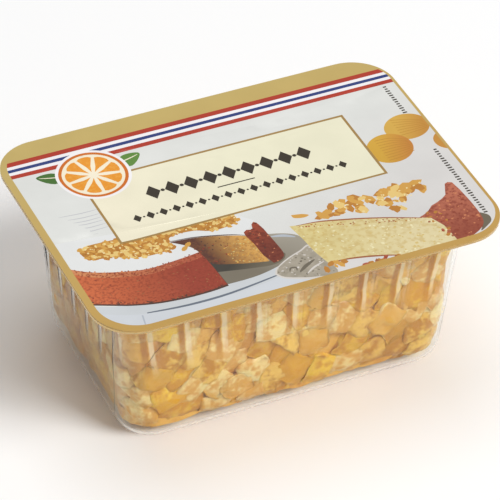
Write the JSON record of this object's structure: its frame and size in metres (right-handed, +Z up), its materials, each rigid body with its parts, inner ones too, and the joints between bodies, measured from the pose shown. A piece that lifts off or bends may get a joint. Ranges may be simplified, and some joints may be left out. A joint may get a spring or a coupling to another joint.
{
  "type": "tub of diced candied orange peel",
  "caption": "Sealed clear tub with a wide flange and fluted walls, full of diced candied orange peel, under a printed film sealed over the flange.",
  "frame": {"origin": "centre of the flat underside of the tub's base", "axes": "+X along the long side, to the right for someone who faces the print; +Y towards the long edge with the gold band; +Z up, out of the printed film"},
  "size_m": [0.096, 0.0704, 0.0422],
  "materials": {
    "clear_plastic": "clear thermoformed sheet",
    "candied_peel": "moist, sugared and slightly translucent",
    "printed_film": "satin printed lidding film with a gold border"
  },
  "bodies": {
    "root": {"tub": "clear_plastic", "candied_peel": "candied_peel", "lid_film": "printed_film"}
  },
  "joints": []
}
